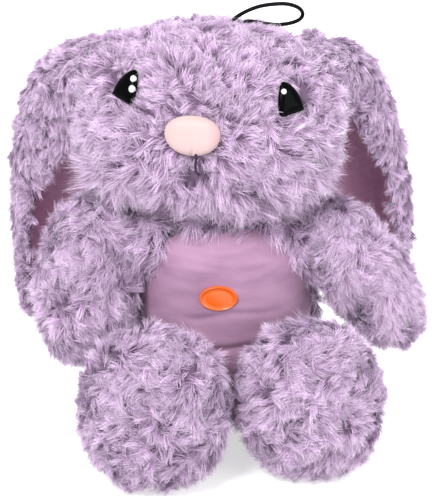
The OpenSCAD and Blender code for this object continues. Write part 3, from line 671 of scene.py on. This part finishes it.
def head_trim(spot):
    """Share of the full length: short at the nose and eyes, full 25 mm away, longer low on the cheeks."""
    p = to_head(spot)
    share = np.clip(np.hypot(p[:, 0] - nose_spot[0], (p[:, 2] - nose_spot[1]) * 1.3) / 0.030, 0.7, 1)
    for eye_x, eye_z in eye_spots.values():
        share = np.minimum(share, np.clip(np.hypot(p[:, 0] - eye_x, p[:, 2] - eye_z) / 0.018, 0.78, 1))
    cheeks = np.exp(-((np.abs(p[:, 0]) - 0.068) / 0.026) ** 2 - ((p[:, 2] + 0.026) / 0.030) ** 2)
    under = np.exp(-((p[:, 2] + 0.052) / 0.018) ** 2)
    return np.where(p[:, 1] < 0, share, 1) * (1 + np.where(p[:, 0] < 0, 0.75, 0.5) * cheeks + 0.65 * under)


head = stuffed("head_skin", [head_shell(fabric)], painted_shade_backing, 2 * mm)
face_pile = fur("face_pile", head, 6300, 20, 0.0125, 31,
                lambda p, n: head_bare(p, n) | (to_head(p)[:, 1] > 0), head_comb, 0.55, trim=head_trim)
nape_pile = fur("nape_pile", head, 5800, 20, 0.0125, 32,
                lambda p, n: head_bare(p, n) | (to_head(p)[:, 1] <= 0), head_comb, 0.3, trim=head_trim)
for piece in (head, face_pile, nape_pile):
    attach(piece, "head")
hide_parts("head_cover", "head_stuffing")


# ---- Eyes ----
# Black domes of moulded plastic with a point at the outer lower corner and one or two small
# white highlights printed on the inner side. A shank and a washer lock each one.
def face_frame(x, z):
    """Columns: across, out, up for a flat-backed piece laid on the face at x, z."""
    h = 1e-4
    a = face_at(x + h, z, 0) - face_at(x - h, z, 0)
    b = face_at(x, z + h, 0) - face_at(x, z - h, 0)
    out = unit(np.cross(a, b))
    across = unit(np.cross(b, out))
    if out[1] > 0:
        out = -out
    return np.stack([across, out, -np.cross(across, out)], 1)


eye_black = finish_of("eye_black", (0.0015, 0.0015, 0.002), 0.16, spread=0.0, grain=50)
with_inputs(node_parts(eye_black)[2], Specular_IOR_Level=0.03)
highlight_white = finish_of("highlight_white", (0.85, 0.86, 0.88), 0.25, coat=0.5, spread=0.01, grain=200)


def outwards(piece):
    """Turns every face of a closed skin outwards."""
    bpy.context.view_layer.objects.active = piece
    piece.select_set(True)
    bpy.ops.object.mode_set(mode="EDIT")
    bpy.ops.mesh.select_all(action="SELECT")
    bpy.ops.mesh.normals_make_consistent(inside=False)
    bpy.ops.object.mode_set(mode="OBJECT")
    piece.select_set(False)
    return piece


eye_edge = np.array([
    (9.6, -4.6), (5.2, -6.8), (0.4, -9.0), (-4.6, -11.2), (-7.4, -8.6), (-8.4, -3.0), (-8.6, 3.2),
    (-7.6, 9.6), (-4.4, 10.6), (0.4, 8.4), (4.6, 4.6), (7.6, 0.2), (9.6, -4.6)]) * mm
eye_rim = smooth_line(eye_edge, 8)[:-1]
eye_lights = {-1: ((-0.0068, 0.0047, 0.0018), (-0.0066, -0.0018, 0.0020)), 1: ((-0.0064, 0.0042, 0.0016),)}
for s, side_name in ((-1, "left"), (1, "right")):
    x, z = s * eye_rim[:, 0], eye_rim[:, 1]
    base = face_at(eye_spots[s][0], eye_spots[s][1], 0.0004)
    axes = face_frame(*eye_spots[s])
    dome = np.array([(0.90, -0.0016), (1.0, -0.0004), (1.0, 0.0006), (0.95, 0.0014), (0.86, 0.0020),
                     (0.70, 0.0026), (0.45, 0.0031), (0.2, 0.0033), (0.01, 0.0034)])
    rows = [np.stack([share * x, np.full_like(x, high), share * z], -1) for share, high in dome]
    points = to_toy(np.concatenate(rows) @ axes.T + base)
    eye = outwards(new_piece(side_name + "_eye_dome", points, capped(len(dome), len(x)), eye_black))
    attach(eye, "head")
    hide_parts(side_name + "_eye")
    edge_turn, edge_r = np.arctan2(z, x), np.hypot(x, z)
    for k, (dx, dz, size) in enumerate(eye_lights[s]):
        a = np.linspace(0, 2 * np.pi, 24, endpoint=False)
        spots = []
        for share in (1.0, 0.6, 0.05):
            px, pz = s * (dx + size * share * np.cos(a)), dz + size * 1.15 * share * np.sin(a)
            reach = np.hypot(px, pz) / np.interp(np.arctan2(pz, px), edge_turn, edge_r, period=2 * np.pi)
            height = np.interp(reach, dome[:1:-1, 0], dome[:1:-1, 1])
            spots.append(np.stack([px, height + 0.0003 - 0.0002 * share, pz], -1))
        spots = to_toy(np.concatenate(spots) @ axes.T + base)
        dot = outwards(new_piece(f"{side_name}_highlight_{k}", spots, capped(3, len(a)), highlight_white))
        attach(dot, "head")


# ---- Nose and mouth ----
# A padded patch of peach satin, stitched down round its edge with a soft fold in the middle,
# and a short line of thick thread below it.
def satin_finish(name, colour, shine):
    """Satin: fine threads as a wave over the surface, a low roughness along them and some sheen."""
    mat = finish_of(name, colour, 0.38, sheen=0.35, spread=0.05, grain=260)
    nodes, links, skin = node_parts(mat)
    with_inputs(skin, Anisotropic=shine)
    threads = with_inputs(nodes.new("ShaderNodeTexWave"), Scale=900, Distortion=2)
    links.new(nodes["Texture Coordinate"].outputs["Object"], threads.inputs["Vector"])
    relief = with_inputs(nodes.new("ShaderNodeBump"), Distance=0.00005)
    links.new(threads.outputs["Fac"], relief.inputs["Height"])
    links.new(relief.outputs["Normal"], skin.inputs["Normal"])
    return mat


def nose_grid():
    """A rounded wedge, wider at the top: crowned by (1 - u^4)(1 - v^4), less a fold down its middle."""
    v = np.linspace(-1, 1, 40)[:, None]
    u = np.linspace(-1, 1, 52)[None]
    half = 0.0182 * (0.95 + 0.07 * v) * np.maximum(0.10, bulge(v, 2.1))
    x = nose_spot[0] + 0.0014 + u * half
    z = nose_spot[1] + v * 0.0124 + 0 * u
    crown = (1 - u**4) * (1 - v**4)
    fold = 0.0010 * np.exp(-((u - 0.15 - 0.10 * v) / 0.09) ** 2) * np.clip(0.3 - v, 0, 1)
    off = 0.0006 + 0.0040 * crown - fold
    return face_at(x, z, 0), off


def wrapped(front, back):
    """Closed skin over two grids of points and the rim between them."""
    rows, cols = front.shape[:2]
    n = rows * cols
    cells = grid_faces(rows, cols, False)
    last = (rows - 1) * cols
    rim = np.concatenate([np.arange(cols), np.arange(1, rows) * cols + cols - 1,
                          last + np.arange(cols - 2, -1, -1), np.arange(rows - 2, 0, -1) * cols])
    side = np.stack([rim, rim + n, np.roll(rim, -1) + n, np.roll(rim, -1)], 1)
    faces = np.concatenate([cells, cells[:, ::-1] + n, side])
    return np.concatenate([front.reshape(-1, 3), back.reshape(-1, 3)]), faces


nose_satin = satin_finish("nose_satin", (0.80, 0.55, 0.50), 0.4)
# Painted light and shade across the satin: paler cream towards -X as painted light, darker pink towards +X
# as painted shade.
nodes, links, skin = node_parts(nose_satin)
parts = nodes.new("ShaderNodeSeparateXYZ")
links.new(nodes["Texture Coordinate"].outputs["Object"], parts.inputs["Vector"])
shade_across_nose = with_inputs(nodes.new("ShaderNodeMapRange"), From_Min=-0.022, From_Max=0.006)
links.new(parts.outputs["X"], shade_across_nose.inputs["Value"])
sides = ramped(nodes, (0.35, (0.63, 0.45, 0.44)), (0.9, (0.53, 0.28, 0.34)))
links.new(shade_across_nose.outputs["Result"], sides.inputs["Fac"])
links.new(sides.outputs["Color"], skin.inputs["Base Color"])
with_inputs(skin, Specular_IOR_Level=0.25)
nose_back, nose_off = nose_grid()
outward = unit(nose_back / head_half**2)
front = nose_back + outward * nose_off[..., None]
back = nose_back - outward * 0.002
points, faces = wrapped(front, back)
nose = outwards(new_piece("nose", to_toy(points), faces, nose_satin))
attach(nose, "head")
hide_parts("nose_patch")

mouth_line = np.array([(0, 0.8), (0.2, -3), (0, -6), (0.1, -9), (0.6, -11), (2.6, -13)]) * mm
mouth_line = smooth_line(mouth_line, 8) + [mouth_x, nose_spot[1] - 0.0115]
mouth_path = to_toy(face_at(mouth_line[:, 0], mouth_line[:, 1], 0.0022))
mouth_faces = capped(len(mouth_path), 10)
mouth_thread = finish_of("mouth_thread", (0.03, 0.012, 0.03), 0.9, bump=0.0002, grain=2500)
mouth = new_piece("mouth_thread", thread(mouth_path, 0.0008, 10), mouth_faces, mouth_thread,
                  ring_uv(mouth_faces, len(mouth_path), 10, 1, 8))
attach(mouth, "head")
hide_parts("mouth_stitch")


# ---- Ears ----
# Two long drooping ears: pile outside, satin inside, sewn to the crown along a rolled seam.
# Each one is a cupped strip that hangs down and curls round its satin lining.
ear_l, ear_w, root_half = 0.204, 0.038, 0.342
ear_roots = {-1: np.array([-72, 6, 266]) * mm, 1: np.array([56, 6, 264]) * mm}
ear_lines = {
    -1: [(0, 0, 0, 0.03, root_half, 80, 80), (-0.14, 0.03, -0.025, 0.28, 0.5, 86, 80),
         (-0.26, 0.07, -0.13, 0.84, 0.47, 95, 112), (-0.315, 0.11, -0.29, 0.86, 0.45, 92, 132),
         (-0.345, 0.13, -0.52, 0.80, 0.45, 58, 134), (-0.345, 0.135, -0.75, 0.45, 0.42, 56, 115),
         (-0.335, 0.135, -0.92, 0.28, 0.38, 66, 95), (-0.315, 0.135, -0.975, 0.2, 0.3, 70, 70)],
    1: [(0, 0, 0, 0.03, root_half, 80, 80), (0.12, 0.03, -0.02, 0.3, 0.5, 84, 80),
        (0.21, 0.07, -0.12, 0.68, 0.47, 88, 108), (0.27, 0.11, -0.28, 0.80, 0.45, 62, 130),
        (0.315, 0.13, -0.48, 0.86, 0.45, 45, 130), (0.335, 0.135, -0.7, 0.50, 0.42, 50, 110),
        (0.32, 0.135, -0.83, 0.28, 0.38, 64, 95), (0.3, 0.135, -0.885, 0.2, 0.3, 70, 70)]}


def ear_surface(s, off, start, rows, cols, edge=1.0):
    """Cup across the ear at each station: deep and half-wide radii turned from its front curl to
    its back curl, moved outwards by off. The stations follow a smooth line from root to tip."""
    line = smooth_line(np.array(ear_lines[s]), 20)
    at = np.linspace(start * 20, len(line) - 1, rows)
    value = np.stack([np.interp(at, np.arange(len(line)), line[:, k]) for k in range(7)], -1)
    spine = ear_roots[s] + ear_l * value[:, :3]
    way = unit(np.gradient(spine, axis=0))
    out = unit(np.stack([-way[:, 2], 0 * at, way[:, 0]], -1)) * s
    deep, wide = value[:, 3, None] * ear_w, value[:, 4, None] * ear_w
    u = np.linspace(-edge, edge, cols)[None]
    turn = np.radians(np.where(u < 0, u * value[:, 5, None], u * value[:, 6, None]))
    across = np.array([0, 1, 0])
    square = unit(out[:, None] * (np.cos(turn) * wide)[..., None]
                  + across * (np.sin(turn) * deep)[..., None])
    return (spine[:, None] - out[:, None] * (deep * (1 - np.cos(turn)))[..., None]
            + across * (wide * np.sin(turn))[..., None] + square * off)


ear_satin = satin_finish("ear_satin", (0.60, 0.30, 0.45), 0.5)
roll_half, roll_r, roll_steps = 0.020, 0.0058, 24
satin_rows, satin_cols = 60, 36
for s, name in ((-1, "left_ear"), (1, "right_ear")):
    points, faces = wrapped(ear_surface(s, 0.0030, 0.1, 60, 40), ear_surface(s, 0.0004, 0.1, 60, 40))
    roll = ear_roots[s] + np.array([0, 1, 0]) * np.linspace(-roll_half, roll_half, roll_steps)[:, None]
    end = np.sqrt(np.clip(1 - np.linspace(-1, 1, roll_steps) ** 8, 0.05, 1)) * roll_r
    rolled = (thread(roll, end, 32), capped(roll_steps, 32))
    ear = stuffed(name + "_skin", [(points, [list(f) for f in faces]), rolled], painted_shade_backing, 0.0005,
                  voxel=0.0015)

    def lining_side(spot, normal, middle=ear_surface(s, 0.0017, 0.1, 90, 60)):
        """Points on the inner face of the ear, where the satin lies, away from its rim."""
        flat = middle.reshape(-1, 3)
        step_u = np.gradient(middle, axis=1)
        step_v = np.gradient(middle, axis=0)
        square = unit(np.cross(step_v, step_u)).reshape(-1, 3)
        nearest = np.argmin(((spot[:, None] - flat[None]) ** 2).sum(2), axis=1)
        facing = (square[nearest] * normal).sum(1)
        sign = np.sign(((flat - ear_surface(s, 0.0, 0.1, 90, 60).reshape(-1, 3)) * square).sum(1)[nearest])
        return facing * sign < -0.3

    coat = fur(name + "_pile", ear, 4700, 20, 0.0100, 41 + s, lining_side,
               lambda p: np.broadcast_to(np.array([0, 0, -1.0]), p.shape), 0.45)
    for piece in (ear, coat):
        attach(piece, name)
    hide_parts(name + "_outer")
    lining_front = ear_surface(s, -0.0006, 0.62, satin_rows, satin_cols, 0.97)
    lining_back = ear_surface(s, -0.0016, 0.62, satin_rows, satin_cols, 0.97)
    points, faces = wrapped(lining_front, lining_back)
    satin = outwards(new_piece(name + "_satin", points, faces, ear_satin))
    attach(satin, name)
    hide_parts(name + "_lining")


# ---- Arms ----
# Stuffed tubes that thicken towards a round paw, sewn into the shoulders by a ball-shaped top.
def egg_shell(a, b, r0, r1, inset):
    """Egg round the axis from a to b: the radius goes from r0 to r1 with the sine of the height,
    times a power 0.9 of the cosine."""
    steps, sides = 30, 48
    w = unit(b - a)
    u = unit(np.cross([0, 1, 0], w))
    v = np.cross(w, u)
    half = np.linalg.norm(b - a) / 2 - inset
    turn = np.radians(np.linspace(-86, 86, steps))[:, None, None]
    s = np.sin(turn)
    r = (r0 + (r1 - r0) * (1 + np.sin(np.pi / 2 * s)) / 2 - inset) * np.cos(turn) ** 0.9
    f = np.linspace(0, 2 * np.pi, sides, endpoint=False)[None, :, None]
    points = (a + b) / 2 + w * half * s + r * (u * np.cos(f) + v * np.sin(f))
    return points.reshape(-1, 3), capped(steps, sides)


arm_shapes = {-1: (np.array([-37.3, -18, -21]) * mm, -4, 0.0331, 0.0352),
              1: (np.array([35.2, -16.1, -15.5]) * mm, 34, 0.0299, 0.0294)}
for s, name in ((-1, "left_arm"), (1, "right_arm")):
    from_shoulder, out, top_r, paw_r = arm_shapes[s]
    w = np.array([np.sin(np.radians(out)), -np.sin(np.radians(9)), -np.cos(np.radians(out))]) * 0.0575
    mid = shoulder_at[s] + from_shoulder
    inset = 4 * mm
    arm = stuffed(name + "_skin", [egg_shell(mid - w, mid + w, top_r, paw_r, inset),
                                   ball_shell(shoulder_at[s], 0.027 - inset)], painted_shade_backing, 2 * mm)
    side_of_arm = unit(w)
    coat = fur(name + "_pile", arm, 3200, 20, 0.0125, 51 + s,
               lambda p, n, s=s: in_ball(p, body_mid + [0, 0, 0.04], 0.050),
               lambda p, w=side_of_arm: np.broadcast_to(w, p.shape), 0.30)
    for piece in (arm, coat):
        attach(piece, name)
    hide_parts(name + "_cover", name + "_stuffing")


# ---- Legs ----
# Short stuffed legs that stick out forwards and end in big round feet with their soles to the front.
clear_y, sole_depth = -0.057, 0.032
hip_r, foot_wide, foot_tall = 0.015, 0.047, 0.0555


def leg_shell(s, foot_x, inset):
    """Rings in upright planes from the hip forwards: slim until clear of the belly, then widening
    into the foot, and closing over its sole on a quarter ellipse. Nothing goes below the floor."""
    sides, closing = 48, 14
    hip = hip_at[s]
    foot_y, foot_z = -0.101 if s < 0 else -0.088, foot_tall
    t = np.linspace(0, 1, 10)
    grow = np.sin(np.pi / 2 * t)
    rows = [np.array([[hip[0], hip[1], hip[2], hip_r, hip_r]])]
    rows.append(np.stack([hip[0] + (foot_x - hip[0]) * grow, clear_y + (foot_y - clear_y) * t,
                          hip[2] + (foot_z - hip[2]) * grow, hip_r + (foot_wide - hip_r) * grow,
                          hip_r + (foot_tall - hip_r) * grow], -1))
    a = np.radians(np.linspace(6, 84, closing))
    rows.append(np.stack([np.full(closing, foot_x), foot_y - (sole_depth - inset) * np.sin(a),
                          np.full(closing, foot_z), foot_wide * np.cos(a) ** 0.8,
                          foot_tall * np.cos(a) ** 0.8], -1))
    r = np.concatenate(rows)
    f = np.linspace(0, 2 * np.pi, sides, endpoint=False)[None]
    c, z = ring(f, 2.1)
    points = np.stack([r[:, :1] + (r[:, 3:4] - inset) * c, r[:, 1:2] + 0 * c,
                       np.maximum(r[:, 2:3] + (r[:, 4:] - inset) * z, 0.0024)], -1)
    return points.reshape(-1, 3), capped(len(r), sides)


def leg_bare(p, normal):
    """Points inside the torso's outline, or down on the floor."""
    in_torso = np.hypot(p[:, 0] / 0.060, (p[:, 1] - 0.004) / 0.058) < 0.97
    return in_torso | (p[:, 2] < 0.0040)


for s, name, foot_x in ((-1, "left_leg", -0.046), (1, "right_leg", 0.0545)):
    inset = (2 if s < 0 else 3) * mm
    leg = stuffed(name + "_skin", [leg_shell(s, foot_x, inset), ball_shell(hip_at[s], 0.021 - inset)],
                  painted_shade_backing, 2 * mm)
    outwards(leg)
    coat = fur(name + "_pile", leg, 3350, 20, 0.0125, 61 + s, leg_bare,
               lambda p, x=foot_x: unit(p - np.array([x, -0.09, 0.055])), 0.25)
    for piece in (leg, coat):
        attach(piece, name)
    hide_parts(name + "_cover", name + "_stuffing")


# ---- Floor and light ----
# A white table under soft daylight from large windows in front and above.
floor_mesh = bpy.data.meshes.new("floor")
floor_mesh.from_pydata([(-3, -3, 0), (3, -3, 0), (3, 3, 0), (-3, 3, 0)], [], [(0, 1, 2, 3)])
floor = placed("floor", floor_mesh)
white = bpy.data.materials.new("white_table")
white.use_nodes = True
nodes, links, top = node_parts(white)
with_inputs(top, Roughness=0.9, Base_Color=(0.78, 0.78, 0.78, 1), Emission_Color=(1, 1, 1, 1))
grain = with_inputs(nodes.new("ShaderNodeTexNoise"), Scale=300)
place = nodes.new("ShaderNodeTexCoord")
links.new(place.outputs["Object"], grain.inputs["Vector"])
relief = with_inputs(nodes.new("ShaderNodeBump"), Distance=0.0001)
links.new(grain.outputs["Fac"], relief.inputs["Height"])
links.new(relief.outputs["Normal"], top.inputs["Normal"])


def seen_rays(nodes, links):
    """One for a ray that shows the white surroundings: straight to the eye, in gloss or through glass."""
    rays = nodes.new("ShaderNodeLightPath")
    shows = rays.outputs["Is Camera Ray"]
    for kind in ("Is Glossy Ray", "Is Transmission Ray"):
        either = nodes.new("ShaderNodeMath")
        either.operation = "MAXIMUM"
        links.new(shows, either.inputs[0])
        links.new(rays.outputs[kind], either.inputs[1])
        shows = either.outputs["Value"]
    return shows


lift = nodes.new("ShaderNodeMath")
lift.operation = "MULTIPLY"
lift.inputs[1].default_value = 0.58
links.new(seen_rays(nodes, links), lift.inputs[0])
links.new(lift.outputs["Value"], top.inputs["Emission Strength"])
floor_mesh.materials.append(white)

world = bpy.data.worlds.new("world")
bpy.context.scene.world = world
world.use_nodes = True
nodes, links = world.node_tree.nodes, world.node_tree.links
sky = with_inputs(nodes["Background"], Color=(0.95, 0.97, 1, 1), Strength=0.55)
seen = with_inputs(nodes.new("ShaderNodeBackground"), Color=(1, 1, 1, 1), Strength=1)
shown = nodes.new("ShaderNodeMixShader")
links.new(seen_rays(nodes, links), shown.inputs["Fac"])
links.new(sky.outputs["Background"], shown.inputs[1])
links.new(seen.outputs["Background"], shown.inputs[2])
links.new(shown.outputs["Shader"], nodes["World Output"].inputs["Surface"])

for name, at, size, power in (("key", (-0.6, -1.1, 1.3), 0.4, 26), ("fill", (1.0, -1.0, 0.7), 1.0, 10),
                              ("back", (0.2, 1.2, 1.0), 1.2, 18)):
    lamp = bpy.data.lights.new(name, "AREA")
    lamp.energy, lamp.size = power, size
    light = placed(name, lamp)
    light.location = at
    light.rotation_mode = "QUATERNION"
    light.rotation_quaternion = (Vector((0, -0.03, 0.14)) - Vector(at)).to_track_quat("-Z", "Y")

bpy.context.scene.view_settings.view_transform = "Standard"
